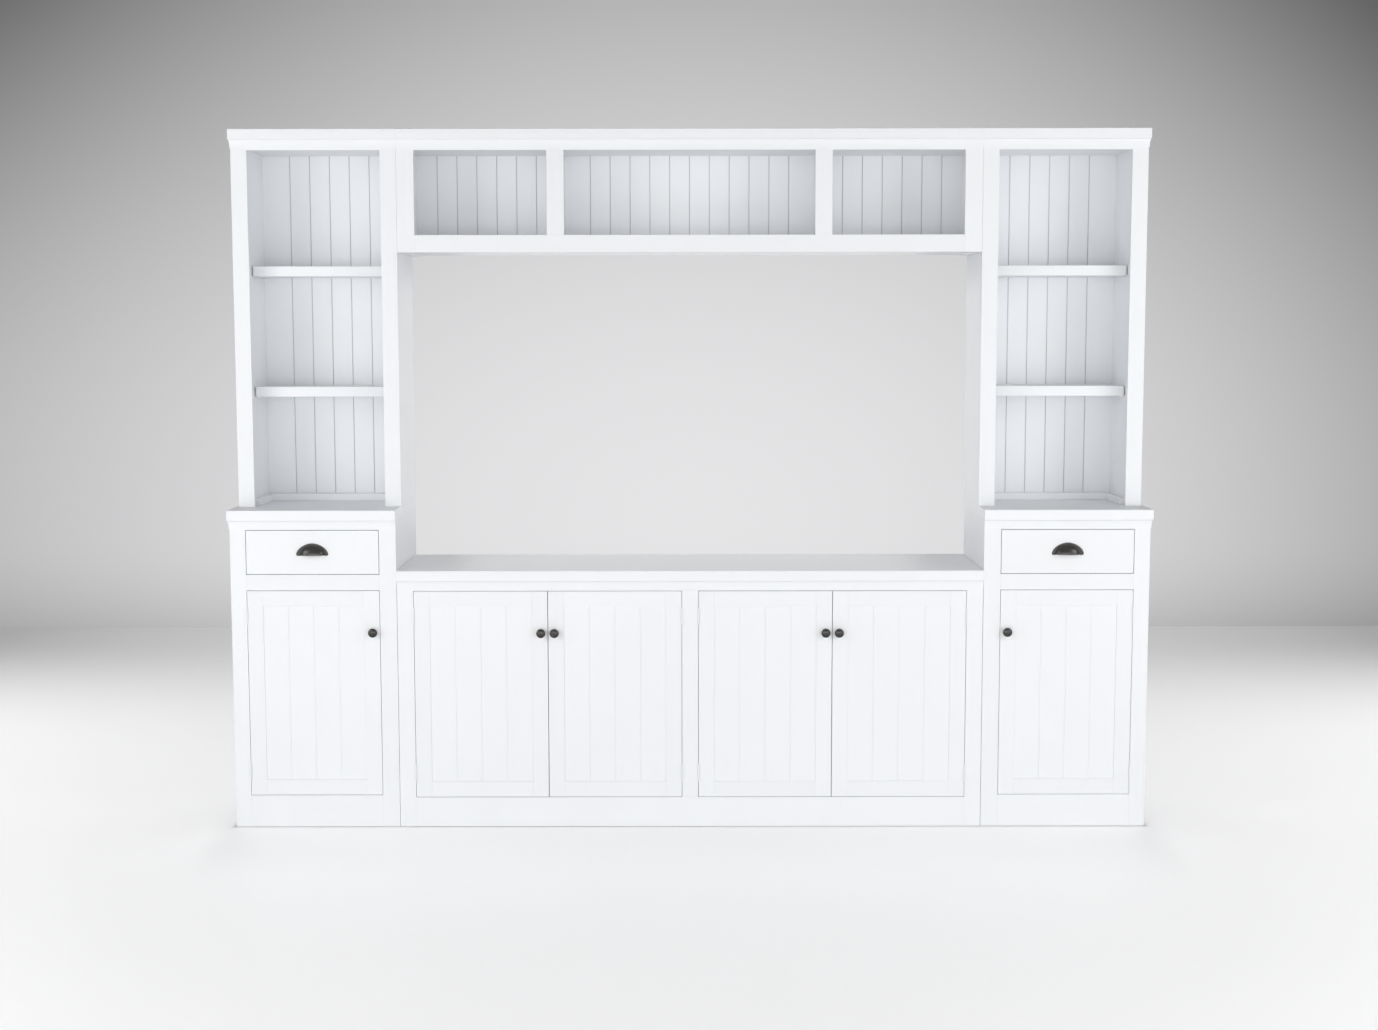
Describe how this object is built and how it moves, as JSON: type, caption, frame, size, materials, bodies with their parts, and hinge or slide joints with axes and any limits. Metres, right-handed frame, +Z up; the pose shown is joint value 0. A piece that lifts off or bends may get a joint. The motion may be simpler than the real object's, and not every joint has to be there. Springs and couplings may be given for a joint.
{
  "type": "entertainment center",
  "caption": "Wide wall unit with a low media base, side towers of drawer, cupboard and open shelves, and a bridge of cubbies over a screen bay.",
  "frame": {"origin": "on the floor, at the middle of the whole unit's width and depth", "axes": "+X along the wall to the right seen from the front, +Y back towards the wall, +Z up"},
  "size_m": [2.8, 0.436, 2.124],
  "materials": {
    "white_paint": "satin white paint over wood, eased edges",
    "black_iron": "matt black antique iron",
    "bare_wood": "clear-sealed pale wood",
    "dark_steel": "blackened steel"
  },
  "bodies": {
    "cabinet": {"left_base_top": "white_paint", "left_base_carcass": "white_paint", "left_base_face_frame": "white_paint", "left_base_back": "white_paint", "left_base_shelf": "white_paint", "left_hutch_case": "white_paint", "left_hutch_face_frame": "white_paint", "left_hutch_back": "white_paint", "left_hutch_cornice": "white_paint", "left_hutch_upper_shelf": "white_paint", "left_hutch_lower_shelf": "white_paint", "left_hutch_cleat": "white_paint", "left_bridge_bolt": "dark_steel", "right_base_top": "white_paint", "right_base_carcass": "white_paint", "right_base_face_frame": "white_paint", "right_base_back": "white_paint", "right_base_shelf": "white_paint", "right_hutch_case": "white_paint", "right_hutch_face_frame": "white_paint", "right_hutch_back": "white_paint", "right_hutch_cornice": "white_paint", "right_hutch_upper_shelf": "white_paint", "right_hutch_lower_shelf": "white_paint", "right_hutch_cleat": "white_paint", "right_bridge_bolt": "dark_steel", "media_base_top": "white_paint", "media_base_carcass": "white_paint", "media_base_face_frame": "white_paint", "media_base_back": "white_paint", "media_shelf_left": "white_paint", "media_shelf_right": "white_paint", "bridge_case": "white_paint", "bridge_face_frame": "white_paint", "bridge_back": "white_paint", "bridge_cornice": "white_paint"},
    "left_tower_door": {"left_tower_door_frame": "white_paint", "left_tower_door_panel": "white_paint", "left_tower_door_knob": "black_iron"},
    "right_tower_door": {"right_tower_door_frame": "white_paint", "right_tower_door_panel": "white_paint", "right_tower_door_knob": "black_iron"},
    "media_door_1": {"media_door_1_frame": "white_paint", "media_door_1_panel": "white_paint", "media_door_1_knob": "black_iron"},
    "media_door_2": {"media_door_2_frame": "white_paint", "media_door_2_panel": "white_paint", "media_door_2_knob": "black_iron"},
    "media_door_3": {"media_door_3_frame": "white_paint", "media_door_3_panel": "white_paint", "media_door_3_knob": "black_iron"},
    "media_door_4": {"media_door_4_frame": "white_paint", "media_door_4_panel": "white_paint", "media_door_4_knob": "black_iron"},
    "left_drawer": {"left_drawer_box": "bare_wood", "left_drawer_front": "white_paint", "left_drawer_pull": "black_iron"},
    "right_drawer": {"right_drawer_box": "bare_wood", "right_drawer_front": "white_paint", "right_drawer_pull": "black_iron"}
  },
  "joints": [
    {"name": "left_tower_door_hinge", "type": "hinge", "parent": "cabinet", "child": "left_tower_door", "pos_m": [-1.3459, -0.197, 0.4], "axis": [0, 0, -1], "range_deg": [0, 110]},
    {"name": "right_tower_door_hinge", "type": "hinge", "parent": "cabinet", "child": "right_tower_door", "pos_m": [1.3459, -0.197, 0.4], "axis": [0, 0, 1], "range_deg": [0, 110]},
    {"name": "media_door_1_hinge", "type": "hinge", "parent": "cabinet", "child": "media_door_1", "pos_m": [-0.8401, -0.197, 0.4], "axis": [0, 0, -1], "range_deg": [0, 110]},
    {"name": "media_door_2_hinge", "type": "hinge", "parent": "cabinet", "child": "media_door_2", "pos_m": [-0.0251, -0.197, 0.4], "axis": [0, 0, 1], "range_deg": [0, 90]},
    {"name": "media_door_3_hinge", "type": "hinge", "parent": "cabinet", "child": "media_door_3", "pos_m": [0.0251, -0.197, 0.4], "axis": [0, 0, -1], "range_deg": [0, 90]},
    {"name": "media_door_4_hinge", "type": "hinge", "parent": "cabinet", "child": "media_door_4", "pos_m": [0.8401, -0.197, 0.4], "axis": [0, 0, 1], "range_deg": [0, 110]},
    {"name": "left_drawer_slide", "type": "slide", "parent": "cabinet", "child": "left_drawer", "axis": [0, -1, 0], "range_m": [0, 0.25]},
    {"name": "right_drawer_slide", "type": "slide", "parent": "cabinet", "child": "right_drawer", "axis": [0, -1, 0], "range_m": [0, 0.25]}
  ]
}
